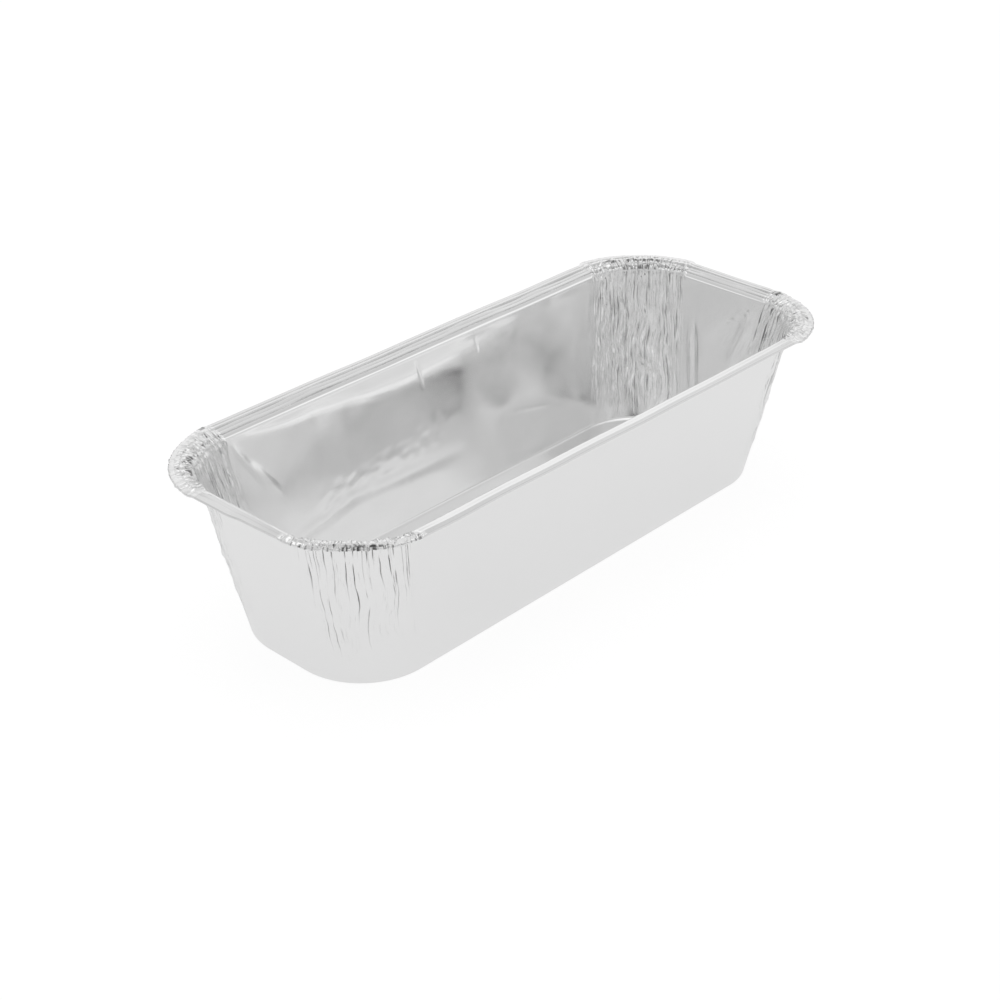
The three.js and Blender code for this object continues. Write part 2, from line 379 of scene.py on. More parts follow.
# %% [markdown]
# ## From a grid of points to faces
# A stretch of the sheet is a grid of points: rows along the profile, columns round the outline.
# The normal at each point is the mean of the normals of the faces round it, worked out for the
# whole grid at once.

# %% Work out normals and faces
def unit(vectors):
    """The vectors with length 1."""
    return vectors / np.linalg.norm(vectors, axis=-1, keepdims=True)


def grid_normals(points):
    """Normals at the points of a grid: each face's is the cross product of its two diagonals, and
    each point takes the mean of the faces round it."""
    faces = unit(np.cross(points[1:, 1:] - points[:-1, :-1], points[1:, :-1] - points[:-1, 1:]))
    wide = np.pad(faces, ((1, 1), (1, 1), (0, 0)), mode="edge")
    return unit(wide[:-1, :-1] + wide[1:, :-1] + wide[:-1, 1:] + wide[1:, 1:])


def grid_quads(rows, columns):
    """Corner numbers of the faces of a grid of points that is numbered row by row."""
    first = (np.arange(rows - 1)[:, None] * columns + np.arange(columns - 1)).ravel()
    return np.stack([first, first + 1, first + columns + 1, first + columns], axis=1)


def edge_loop(rows, columns):
    """Point numbers round the edge of a grid, in the sense of its faces."""
    numbers = np.arange(rows * columns).reshape(rows, columns)
    return np.concatenate([
        numbers[0, :-1], numbers[:-1, -1], numbers[-1, :0:-1], numbers[:0:-1, 0],
    ])


print("faces of a grid of 3 by 4 points:", len(grid_quads(3, 4)))

# %% [markdown]
# ## A piece of foil
# The inside skin is the outside skin moved in by the foil's thickness along the normals, and a ring
# of narrow faces closes the edge. The normals are kept in the mesh, so that a wall and its rim have
# one reflection across their seam.

# %% Make a piece of foil
def foil_mesh(name, points, normals, blank, painted_shade):
    """A closed sheet: outside skin, inside skin a foil's thickness within, and the edge between."""
    rows, columns = points.shape[:2]
    count = rows * columns
    outside = points.reshape(-1, 3)
    facing = normals.reshape(-1, 3)
    quads = grid_quads(rows, columns)
    loop = edge_loop(rows, columns)
    following = np.roll(loop, -1)
    edge = np.stack([following, loop, loop + count, following + count], axis=1)
    faces = np.concatenate([quads, quads[:, ::-1] + count, edge]).astype(np.int32)
    vertices = np.concatenate([outside, outside - FOIL * facing]) * MM

    mesh = bpy.data.meshes.new(name)
    mesh.vertices.add(len(vertices))
    mesh.vertices.foreach_set("co", vertices.astype(np.float32).ravel())
    mesh.loops.add(faces.size)
    mesh.loops.foreach_set("vertex_index", faces.ravel())
    mesh.polygons.add(len(faces))
    mesh.polygons.foreach_set("loop_start", np.arange(0, faces.size, 4, dtype=np.int32))
    mesh.polygons.foreach_set("use_smooth", np.ones(len(faces), dtype=bool))
    mesh.update(calc_edges=True)
    flat = np.concatenate([blank.reshape(-1, 2)] * 2)[faces.ravel()] * MM
    mesh.uv_layers.new(name="blank").data.foreach_set("uv", flat.astype(np.float32).ravel())
    # The painted shade is kept as a point attribute, which the foil's material reads
    painted_shades = np.clip(np.concatenate([painted_shade.ravel()] * 2), 0, 1)
    mesh.attributes.new("painted_shade", "FLOAT", "POINT").data.foreach_set("value", painted_shades.astype(np.float32))
    mesh.normals_split_custom_set_from_vertices(np.concatenate([facing, -facing]))
    return mesh


def foil_piece(name, points, normals, blank, painted_shade, slot, replaced):
    """A closed sheet with its finish, which takes the place of the replaced solids."""
    mesh = foil_mesh(name, points, normals, blank, painted_shade)
    mesh.materials.append(FOIL_FINISHES[slot])
    piece = bpy.data.objects.new(name, mesh)
    bpy.context.scene.collection.objects.link(piece)
    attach(piece, "root")
    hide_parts(*replaced)
    print(f"{name}: {2 * len(mesh.polygons)} triangles")


print("foil %.2f mm thick" % FOIL)

# %% [markdown]
# ## The shoulder of a wall
# A pressed wall of thin foil is never flat. Under the rim it flares out in a soft shoulder, which
# shows as a light band along the top of the back wall. Its lean grows smoothly with height, so the
# band has a soft lower edge, and it starts lower in the middle of the wall than near the corners.

# %% Shape the shoulder
# Extra lean of the shoulder, and how far from the start and the end of each wall it fades in
SHOULDER_LEAN = {"front": 0.04, "right": 0.0, "back": 0.25, "left": 0.0}
SHOULDER_FADE = {"front": (30, 30), "right": (8, 8), "back": (96, 26), "left": (8, 8)}
# Heights where the shoulder starts, by place along the wall, how far they wander, and where it is full
SHOULDER_FROM = [
    (-100, 57), (-60, 53), (-31, 50), (-8, 51), (13, 50), (44, 54.5), (60, 57.5), (83, 58.5), (97, 60.5),
]
SHOULDER_WANDER = 0.25
SHOULDER_TO = 61.5


def shoulder_depth(z, low):
    """How far in a shoulder of lean 1 reaches: its lean grows smoothly from the height `low` to the
    full height and runs on to the wall's top, and below it the wall goes straight down to the heel."""
    share = np.clip((z - low) / (SHOULDER_TO - low), 0, 1)
    growing = (SHOULDER_TO - low) * (0.5 - share ** 3 + share ** 4 / 2)
    full = np.clip(WALL_TOP - np.maximum(z, SHOULDER_TO), 0, None)
    return (full + growing) * np.clip((z - HEEL_RADIUS) / (low - HEEL_RADIUS), 0, 1)


print("the back wall under its shoulder: %.1f mm in" % (SHOULDER_LEAN["back"] * shoulder_depth(50, 50)))

# %% [markdown]
# ## Creases and waves
# The walls carry creases from the press and from handling, and ripple by a tenth of a millimetre.
# A crease is a bell-shaped ridge along a leaning line. A ripple is a sum of sine waves with chance
# lengths and headings: long waves give the broad patches in the reflection, and short ones, in one
# strip of the back wall only, a rumpled look.

# %% Shape creases and waves
# Creases as (wall, place along it, height, lean in degrees, half length, half width, depth out)
CREASES = [
    ("back", 89.9, 48.8, 33, 13.9, 1.3, -0.38),
    ("back", 84.0, 43.0, 34, 8.0, 1.1, -0.32),
    ("back", -57.5, 20.4, 78, 12.8, 0.6, 0.16),
    ("back", 60.0, 17.6, 100, 18.0, 3.0, 0.31),
    ("back", 20.0, 19.4, 88, 30.0, 3.0, 0.28),
    ("back", 5.3, 56.0, 4, 5.0, 0.6, 0.25),
    ("back", -26.8, 57.0, -3, 4.0, 0.6, 0.15),
    ("back", -95.0, 48.0, -12, 9.0, 1.6, -0.2),
    ("right", 8.0, 30.0, 11, 13.0, 0.9, 0.32),
    ("right", 10.6, 31.0, 11, 12.0, 0.8, -0.24),
    ("right", -12.3, 44.6, -18, 10.0, 2.2, 0.35),
    ("right", -11.6, 55.5, -40, 3.4, 1.4, 0.4),
    ("right", -9.0, 52.5, -60, 4.0, 1.2, -0.32),
]
# Sets of waves as (how many, shortest, longest)
SHOULDER_WAVES = (8, 8, 30)
WALL_WAVES = (14, 12, 60)
RUMPLE_WAVES = (20, 3, 9)


def crease_depth(along, z, place, height, lean, half_run, half_wide, depth):
    """A ridge along a leaning line: a bell across it, and a flat-topped bell along it."""
    angle = math.radians(lean)
    run = (z - height) * math.cos(angle) + (along - place) * math.sin(angle)
    across = (along - place) * math.cos(angle) - (z - height) * math.sin(angle)
    return depth * np.exp(-(run / half_run) ** 4 - (across / half_wide) ** 2)


def waves(random, along, z, count, shortest, longest):
    """A sum of sine waves with chance headings, each as high as its share of the longest length."""
    total = 0 * along + 0 * z
    for _ in range(count):
        length = random.uniform(shortest, longest)
        heading = random.uniform(0, math.pi)
        phase = random.uniform(0, 2 * math.pi)
        run = along * math.cos(heading) + z * math.sin(heading)
        total = total + length / longest * np.sin(2 * math.pi * run / length + phase)
    return total


print("creases on the walls:", len(CREASES))

# %% [markdown]
# ## The whole relief of a wall
# Shoulder, bow, waves and creases add up to how far the wall moves out or in at a place along it
# and a height. The bow draws the wall in a little between the stiff corners. All of them fade at the
# corners, where the pleats take over.

# %% Add up the relief of a wall
BOW_DEPTH = {"front": 0.3, "right": 0.2, "back": 0.3, "left": 0.2}
WAVE_HEIGHT = 0.045
# Rumpled strip on the back wall: from and to along, from and to height, half width, height of its waves
RUMPLE = ((-8, 66), (33, 22), 5.0, 0.025)
# Lengths over which the forms fade
WALL_END_FADE = 14
WALL_FOOT_FADE = 7
WALL_TOP_FADE = 3
CREASE_END_FADE = 3
RUMPLE_END_FADE = 8


def smooth_step(low, high, value):
    """0 below low, 1 above high, and an even curve between them."""
    share = np.clip((value - low) / (high - low), 0, 1)
    return share * share * (3 - 2 * share)


def wall_relief(name, along, half, z, random):
    """How far a straight wall stands out, in millimetres: shoulder, bow, waves and creases."""
    from_end = half - np.abs(along)
    ends = smooth_step(0, WALL_END_FADE, from_end)
    foot = smooth_step(HEEL_RADIUS, HEEL_RADIUS + WALL_FOOT_FADE, z)
    top = smooth_step(0, WALL_TOP_FADE, WALL_TOP - z)
    fade_in, fade_out = SHOULDER_FADE[name]
    spread = smooth_step(0, fade_in, half + along) * smooth_step(0, fade_out, half - along)
    low = eased(along, SHOULDER_FROM) + SHOULDER_WANDER * waves(random, along, 0 * z, *SHOULDER_WAVES)
    relief = -SHOULDER_LEAN[name] * spread * shoulder_depth(z, low)
    relief = relief - BOW_DEPTH[name] * ends * np.sin(math.pi * np.clip(z / WALL_TOP, 0, 1))
    relief = relief + WAVE_HEIGHT * ends * foot * top * waves(random, along, z, *WALL_WAVES)
    creased = top * smooth_step(0, CREASE_END_FADE, from_end)
    for wall, *crease in CREASES:
        if wall == name:
            relief = relief + creased * crease_depth(along, z, *crease)
    if name == "back":
        (start, end), heights, half_width, height = RUMPLE
        near = np.exp(-((z - np.interp(along, (start, end), heights)) / half_width) ** 2)
        near = near * smooth_step(0, RUMPLE_END_FADE, along - start)
        near = near * smooth_step(0, RUMPLE_END_FADE, end - along)
        relief = relief + height * near * waves(random, along, z, *RUMPLE_WAVES)
    return relief


sample = wall_relief("back", np.zeros((1, 1)), 100, np.full((1, 1), 40.0), np.random.default_rng(0))
print("a sample from the middle of the back wall: %.2f mm out" % sample[0, 0])

# %% [markdown]
# ## Steps along the rim
# The press leaves small steps in the rim, each with a gutter before it. They are sharp along the
# back and at the far corner, and weaker elsewhere. A gutter is too narrow for the picture to show
# its depth by reflection alone, so painted shade darkens it a little as well. The rim's folded edge
# takes a little painted shade too, which dims its highlight.

# %% Press steps into the rim
# How much of each step a stretch of the rim has
STEP_SHARE = {
    "front": 0.4, "right": 0.4, "back": 0.85, "left": 0.4,
    "front_right": 0.3, "back_right": 1.0, "back_left": 0.3, "front_left": 0.3,
}
# The number of the step at the crease, which is the last on the flange
CREASE_STEP = 2
STEP_RUN = 0.08
# Painted shade in each step's gutter and where across the step it lies, and painted shade on the folded
# edge
STEP_SHADE = (0.12, 0.08, 0.15, 0.08)
STEP_SHADE_PLACES = (-0.35, -0.2, 0.04, 0.12)
EDGE_SHADE = 0.1


def rim_steps(shares):
    """How far the stepped rim lies below the even one, and how much painted shade it takes: for each
    step an even rise from the bend or the crease less a sharp step, plus a gutter that deepens towards
    it and is darkened by painted shade, and painted shade on the folded edge. `shares` scales each
    step by column."""
    out = PROFILE_OUT[:, None]
    below = np.zeros((len(out), shares[0].size))
    painted_shade = np.zeros_like(below)
    for number, ((place, height, gutter), share) in enumerate(zip(STEPS, shares)):
        up = np.clip((out - place) / STEP_RUN + 0.5, 0, 1)
        deep = np.clip((out - place + GUTTER_WIDTH) / (GUTTER_WIDTH - STEP_RUN / 2), 0, 1) * (1 - up)
        if number <= CREASE_STEP:
            even = out / FLANGE_WIDTH
        else:
            even = (out - FLANGE_WIDTH) / (HEM_WIDTH - FOLD_RADIUS)
        below += share * (height * (np.clip(even, 0, 1) - up) + gutter * deep)
        # Painted shade in the gutter before each step
        painted_shade += STEP_SHADE[number] * share * np.interp(out - place, STEP_SHADE_PLACES, [0, 1, 1, 0])
    below[TOP_ROWS:] = 0
    # Painted shade on the folded edge, which dims its highlight
    painted_shade[TOP_ROWS:] = EDGE_SHADE
    return below, painted_shade


print("steps at", [round(float(place), 1) for place, _, _ in STEPS], "mm from the bend")

# %% [markdown]
# ## Straight sides and ends
# Each straight stretch is one grid from heel to hem, cut in two where the bend starts. The wall rows
# move by the relief above. The rim is pressed nearly true: its steps come and go along it, and it
# waves slightly.

# %% Build the straight sides
STRAIGHT_SEED = 100
STRAIGHT_STEP = 0.6
STEP_CHANGE = 0.25
STEP_WAVES = (5, 10, 50)
MOST_STEP = 1.6
RIM_WAVE = 0.08
RIM_WAVES = (4, 25, 80)
RIM_END_FADE = 10


def blank_places(lap):
    """Where each point lay on the flat blank: the base outline moved out by the length of sheet."""
    return sheet_points(lap, SHEET_LENGTH[:, None] - HEEL_RADIUS, np.zeros((len(PROFILE_Z), 1)))[..., :2]


def wall_and_rim(lap, out, z, painted_shade, wall_piece, rim_piece):
    """A stretch of the sheet as two pieces, each given as its name, its slot and what it replaces.
    The normals come from the whole stretch, and the first row lies flat against the base."""
    points = sheet_points(lap, out, z)
    normals = grid_normals(points)
    normals[0] = (0, 0, -1)
    blank = blank_places(lap)
    for part, (name, slot, replaced) in ((WALL_PART, wall_piece), (RIM_PART, rim_piece)):
        foil_piece(name, points[part], normals[part], blank[part], painted_shade[part], slot, replaced)


def build_straight(number):
    """The wall and the rim of one straight stretch of the tray."""
    name = STRETCHES[number]
    random = np.random.default_rng(STRAIGHT_SEED + number)
    long_side = number % 4 == 0
    base_half = BASE_HALF_LENGTH if long_side else BASE_HALF_WIDTH
    slope = END_SLOPE if long_side else SIDE_SLOPE
    half = base_half - CORNER_RADIUS + slope * np.minimum(PROFILE_Z, MOUTH_HEIGHT)[:, None]
    share = np.linspace(0, 1, int(2 * half.max() / STRAIGHT_STEP) + 1)[None, :]
    along = (2 * share - 1) * half
    z = PROFILE_Z[:, None] + 0 * share
    out = PROFILE_OUT[:, None] + 0 * share
    out[WALL_PART] += wall_relief(name, along[WALL_PART], half[WALL_PART], z[WALL_PART], random)
    out, z = stray_rim(number + share[0], out, z)

    edge = along[-1]
    ends = smooth_step(0, RIM_END_FADE, half[-1] - np.abs(edge))
    changes = [1 + STEP_CHANGE * waves(random, edge, 0 * ends, *STEP_WAVES) for _ in STEPS]
    pressed = np.clip([STEP_SHARE[name] * change for change in changes], 0, MOST_STEP)
    below, painted_shade = rim_steps([1 + (step - 1) * ends for step in pressed])
    z -= below
    sway = RIM_WAVE * ends * waves(random, edge, 0 * ends, *RIM_WAVES)
    z += sway * smooth_step(WALL_TOP, HEIGHT - FOIL, PROFILE_Z)[:, None]
    wall_and_rim(
        number + share, out, z, painted_shade,
        (f"foil_wall_{name}", "foil_panel", [f"heel_{name}", f"wall_{name}"]),
        (f"foil_rim_{name}", "foil_rim", [f"flange_{name}", f"hem_{name}"]),
    )


for stretch in (0, 2, 4, 6):
    build_straight(stretch)

# %% [markdown]
# ## Pleated corners
# At a corner the flat blank has more edge than the arc has room for, so the foil buckles and the
# press flattens the buckles into tucks. Between two tucks the foil is a narrow strip with a chance
# ridge in it. The columns of the grid are set at the edges and ridges of the strips and at the
# bottoms of the tucks, so each crease is a line of the mesh.

# %% Lay out the tucks
CORNER_ARC = CORNER_RADIUS * math.pi / 2
PLEATS = 36
TUCK_WIDTH = 0.36
CREASE_ROUNDING = 0.06
# Widths of strips, before they are made to fit the arc, and places of ridges and bottoms as shares
STRIP_WIDTHS = (0.25, 1.8)
FOLD_PLACES = (0.3, 0.7)


def pleat_layout(random):
    """Places along the arc of each strip's start, ridge and end and each tuck's bottom, which are
    the knots, and columns on both sides of every knot and between them."""
    widths = random.uniform(*STRIP_WIDTHS, PLEATS)
    widths *= (CORNER_ARC - (PLEATS - 1) * TUCK_WIDTH) / widths.sum()
    starts = np.concatenate([[0], np.cumsum(widths + TUCK_WIDTH)[:-1]])
    ends = starts + widths
    ridges = starts + widths * random.uniform(*FOLD_PLACES, PLEATS)
    bottoms = ends + TUCK_WIDTH * random.uniform(*FOLD_PLACES, PLEATS)
    knots = np.stack([starts, ridges, ends, bottoms], axis=1).ravel()[:-1]
    inner = knots[1:-1]
    middles = np.concatenate([(starts + ridges) / 2, (ridges + ends) / 2])
    columns = np.concatenate([
        [0, CORNER_ARC], inner - CREASE_ROUNDING, inner + CREASE_ROUNDING, middles,
    ])
    return knots, np.sort(columns)


def between_knots(columns, knots, heights):
    """Straight lines between the knots' heights: rows of knots in, rows of columns out."""
    left = np.clip(np.searchsorted(knots, columns, side="right") - 1, 0, len(knots) - 2)
    share = (columns - knots[left]) / (knots[left + 1] - knots[left])
    return heights[:, left] * (1 - share) + heights[:, left + 1] * share


print(PLEATS, "strips on an arc of %.1f mm" % CORNER_ARC)

# %% [markdown]
# ## Depth of the tucks
# Every knot has its own height, which changes on the way up the wall. The tucks break off here and
# there, and most fade out on the way down. Two single tucks at the front right corner are deeper,
# and show as thin dark lines on its outside, by their depth and by painted shade. Where tucks are
# deep, painted shade darkens them.

# %% Fold the tucks
EDGE_SPREAD = 0.13
RIDGE_SPREAD = 0.25
TUCK_DEPTH = (0.2, 0.8)
# Distances up the wall between levels with chance heights, for strips and for breaks in the tucks
STRIP_LEVELS = 3.5
BREAK_LEVELS = 4
# A tuck's share of its depth on the way up: mean, spread and most
TUCK_SHARE = (0.6, 0.6, 1.3)
# Where a tuck ends at the top, from the wall's top, and where one at the arc's ends can reach down to
HEAD_HEIGHTS = (-8, 16)
FOOT_HEIGHTS = (4, 40)
FOOT_AT_MIDDLE = 1.15
HEAD_FADE = 5
FOOT_FADE = (-3, 8)
STRIP_FADE = (3, 22)
TUCK_END_FADE = 2.5
# Single tucks that stand out: corner, share of its arc, from and to height, and depth
LONG_TUCKS = [("front_right", 0.08, 36, 53, 0.75), ("front_right", 0.15, 34, 50, 0.5)]
LONG_TUCK_FADE = 4


def chance_heights(random, z, count, spacing):
    """A chance height for each knot, in straight lines between levels that differ from knot to knot."""
    levels = np.arange(0, WALL_TOP + 3 * spacing, spacing)
    values = random.normal(0, 1, (count, len(levels)))
    shifts = random.uniform(0, spacing, count)
    return np.stack([np.interp(z + shift, levels, value) for shift, value in zip(shifts, values)], axis=1)


def from_arc_ends(places):
    """How far places along a corner's arc are from the nearer end of it."""
    return np.minimum(places, CORNER_ARC - places)


def pleat_heights(random, knots, z, running, reach, rough):
    """How far in each knot lies at each height, and how much of that is a tuck: edges and ridges by
    chance, and tucks that break off here and there and fade out on the way down."""
    count = len(knots)
    kind = np.arange(count) % 4
    spread = np.choose(kind, [EDGE_SPREAD, RIDGE_SPREAD, EDGE_SPREAD, EDGE_SPREAD])
    heights = rough * spread * chance_heights(random, z, count, STRIP_LEVELS)
    mean, change, most = TUCK_SHARE
    whole = np.clip(mean + change * chance_heights(random, z, count, BREAK_LEVELS), 0, most)
    shallow, deep = TUCK_DEPTH
    depth = shallow + (deep - shallow) * random.uniform(0, 1, count)
    depth = depth * (kind == 3) * (random.uniform(0, 1, count) < running)
    head = WALL_TOP + random.uniform(*HEAD_HEIGHTS, count)
    whole = whole * (1 - smooth_step(head[None, :] - HEAD_FADE, head[None, :], z[:, None]))
    middle = 1 - np.abs(2 * knots / CORNER_ARC - 1)
    lowest = random.uniform(*FOOT_HEIGHTS, count) * (FOOT_AT_MIDDLE - middle)
    foot = np.maximum(lowest, WALL_TOP - reach * random.exponential(1, count))
    grown = smooth_step(foot[None, :] + FOOT_FADE[0], foot[None, :] + FOOT_FADE[1], z[:, None])
    folded = depth * whole * grown
    ends = smooth_step(0, TUCK_END_FADE, from_arc_ends(knots))
    return (heights * smooth_step(*STRIP_FADE, z)[:, None] + folded) * ends, folded * ends


def long_tucks(name, knots, z):
    """How far in each knot lies by a corner's single tucks: one knot for each, with soft ends."""
    deep = np.zeros((len(z), len(knots)))
    for corner, place, low, high, depth in LONG_TUCKS:
        if corner == name:
            nearest = np.argmin(np.abs(knots / CORNER_ARC - place))
            started = smooth_step(low - LONG_TUCK_FADE, low + LONG_TUCK_FADE, z)
            deep[:, nearest] += depth * started * smooth_step(-LONG_TUCK_FADE, LONG_TUCK_FADE, high - z)
    return deep


print("single long tucks:", len(LONG_TUCKS))

# %% [markdown]
# ## The gathered rim
# The tucks run on over the bend into the rim, where they turn into sharp gathers. There the foil
# moves up and down instead of in and out. Chance patterns at six places from the bend to the edge
# are joined by straight lines, which makes small facets. They are strongest at the bend, and the
# outer edge is pressed flatter.

# %% Gather the rim
# Place along the rim and height of each chance pattern
GATHERS = [
    (BEND_RADIUS, 0.32), (2.1, 0.28), (3.5, 0.25), (FLANGE_WIDTH, 0.2),
    (FLANGE_WIDTH + 1.5, 0.12), (FLANGE_WIDTH + HEM_WIDTH, 0.06),
]
# For each corner: how strongly the flange and the hem are gathered, how much painted shade the tucks
# take there, and how far the hem's lip is turned down
RIMS = {
    "front_right": (1.2, 1.0, 0.8, 0.2), "back_right": (1.0, 0.5, 1.2, 0.0),
    "back_left": (1.4, 0.6, 1.3, 0.1), "front_left": (0.9, 1.5, 0.8, 0.3),
}
RIM_TUCK = (0.6, 3.5)
# Chance of small facets, of tucks in a pattern, of larger facets and of the lip
KNOT_SPREAD = 0.8
TUCK_CHANCE = (0.2, 1.0)
FACET_SPREAD = 1.2
LIP_CHANCE = (0.3, 1.5)
FACET_KNOTS = 7
LIP_WIDTH = 1.3
LIP_CURVE = 1.5
RIM_KNOT_FADE = 2


def rim_gathers(random, knots, columns, flange, hem, fold_shade, lip):
    """How far down the rim dips at each row beyond the wall, and how much painted shade it takes:
    straight lines between the chance patterns of small and larger facets, a lip that turns down by
    chance, and painted shade in the tucks."""
    count = np.arange(len(knots))
    facets = count[::FACET_KNOTS]
    ends = smooth_step(0, RIM_KNOT_FADE, from_arc_ends(knots))
    tucks = random.uniform(*RIM_TUCK, len(knots)) * (count % 4 == 3)
    out = PROFILE_OUT[RIM_PART, None]
    places = [place for place, _ in GATHERS]
    dip = np.zeros((len(out), len(columns)))
    for share, (place, height) in zip(np.eye(len(places)), GATHERS):
        height = height * (flange if place <= FLANGE_WIDTH else hem)
        chance = random.normal(0, KNOT_SPREAD, len(knots))
        chance = chance + tucks * random.uniform(*TUCK_CHANCE, len(knots))
        chance = chance + np.interp(count, facets, random.normal(0, FACET_SPREAD, len(facets)))
        pattern = between_knots(columns, knots, (height * chance * ends)[None, :])
        dip += np.interp(out, places, share) * pattern
    turned = np.clip((out - FLANGE_WIDTH - HEM_WIDTH + LIP_WIDTH) / LIP_WIDTH, 0, 1)
    chance = np.interp(count, facets, random.uniform(*LIP_CHANCE, len(facets)))
    dip += turned ** LIP_CURVE * between_knots(columns, knots, (lip * chance * ends)[None, :])
    first = smooth_step(0, BEND_RADIUS, out)
    folded = between_knots(columns, knots, (tucks * ends)[None, :]) / RIM_TUCK[1]
    return dip * first, fold_shade * folded * first * (1 - smooth_step(BEND_RADIUS, FLANGE_WIDTH, out))


print("gathers at", [round(float(place), 1) for place, _ in GATHERS], "mm from the bend")

# %% [markdown]
# ## Dark pits
# In a few places of the gathered rim the folds are so deep and narrow that no light comes out of
# them, and they show as short dark strokes. They are too fine to fold, so painted shade darkens
# chance knots there, over a stretch of the rim's width.

# %% Darken the deepest folds
# Corner, from and to as shares of its arc, from and to across the rim, and the share of knots
PITS = [
    ("front_left", 0.42, 0.74, FLANGE_WIDTH + 0.6, FLANGE_WIDTH + 1.9, 0.33),
    ("front_left", 0.42, 0.74, FLANGE_WIDTH + 1.6, FLANGE_WIDTH + 4, 0.33),
    ("front_left", 0.1, 0.95, FLANGE_WIDTH + 0.2, FLANGE_WIDTH + 1.4, 0.12),
    ("front_left", 0.1, 0.95, FLANGE_WIDTH + 2.0, FLANGE_WIDTH + 4, 0.12),
    ("back_right", 0.38, 0.65, 0.2, 1.4, 0.4),
    ("back_right", 0.3, 0.75, FLANGE_WIDTH - 0.8, FLANGE_WIDTH + 0.2, 0.32),
    ("back_left", 0.3, 0.5, 1.6, 2.4, 0.25),
    ("back_left", 0.45, 0.7, 1.0, 3.2, 0.25),
    ("back_left", 0.05, 0.09, FLANGE_WIDTH + 1.5, FLANGE_WIDTH + 4, 0.8),
    ("front_right", 0.9, 0.97, FLANGE_WIDTH - 0.3, FLANGE_WIDTH + 2, 0.7),
]
PIT_DARKNESS = (0.5, 1.0)


def rim_pits(random, name, knots, columns):
    """How much painted shade each point of a corner's rim takes for its dark pits: chance knots, over
    stretches across the rim.
    """
    out = PROFILE_OUT[:, None]
    place = knots / CORNER_ARC
    dark = np.zeros((len(out), len(columns)))
    for corner, start, end, low, high, share in PITS:
        if corner == name:
            deep = (random.uniform(0, 1, len(knots)) < share) * (place > start) * (place < end)
            darkness = random.uniform(*PIT_DARKNESS, (1, len(knots))) * deep
            dark += (out > low) * (out < high) * between_knots(columns, knots, darkness)
    return np.clip(dark, 0, 1)


print("groups of dark pits:", len(PITS))

# %% [markdown]
# ## Corners from tucks and gathers
# A corner is one grid from heel to hem, like a straight side. Its lines draw together towards the
# base, or spread, and sway on the way down. Small dents break up the bend, the crease's riser is
# spread so that it doesn't fold over the gathers, and the outer edge wanders a little.

# %% Build the pleated corners
CORNER_SEEDS = {"front_right": 201, "back_right": 203, "back_left": 205, "front_left": 225}
# For each corner: the share of tucks that run down the wall, how far they reach, how much painted
# shade darkens them, how rough the strips between them are, and how far the lines draw together on
# each half of the arc
CORNERS = {
    "front_right": (0.8, 60, 1.3, 1.1, 0.1, 0.1),
    "back_right": (0.7, 60, 1.05, 1.35, -0.1, 0.15),
    "back_left": (0.9, 60, 1.0, 1.15, 0.15, 0.15),
    "front_left": (1.0, 19, 1.4, 0.8, 0.42, -0.15),
}
COLUMN_FADE = 6
# Soft folds of the wall: height, waves, share of the height in their run, and heights where they fade in
FOLD_HEIGHT = 0.1
FOLD_WAVES = (12, 4, 11)
FOLD_STRETCH = 0.25
FOLD_FADE = (4, 24)
# Sway of the lines: how far, and by which waves
SWAYS = [(0.4, (8, 9, 30)), (0.08, (8, 5, 10))]
DENT_DEPTH = 0.9
DENT_LENGTH = 0.9
RISER_HALF = 0.06
RISER_SPREAD = 3.0
EDGE_WANDER = 0.13
STEP_SPREAD = 0.6
# Share of each row in a dent of the bend
PROFILE_BEND = np.exp(-((SHEET_LENGTH - SHEET_LENGTH[RIM_ROW]) / DENT_LENGTH) ** 2)


def corner_shares(random, columns, apart, draw_first, draw_last):
    """Share of the arc for each row and column: the column's own place, drawn towards the middle by
    the share of the way down the wall, and swaying by the square root of that share."""
    down = 1 - np.minimum(PROFILE_Z, WALL_TOP)[:, None] / WALL_TOP
    from_middle = CORNER_ARC / 2 - columns
    drawn = np.where(from_middle > 0, draw_first, draw_last) * down * from_middle
    swaying = 0
    for far, sizes in SWAYS:
        swaying = swaying + far * waves(random, columns[None, :], PROFILE_Z[:, None], *sizes)
    return (columns + (drawn + swaying * down ** 0.5) * apart) / CORNER_ARC


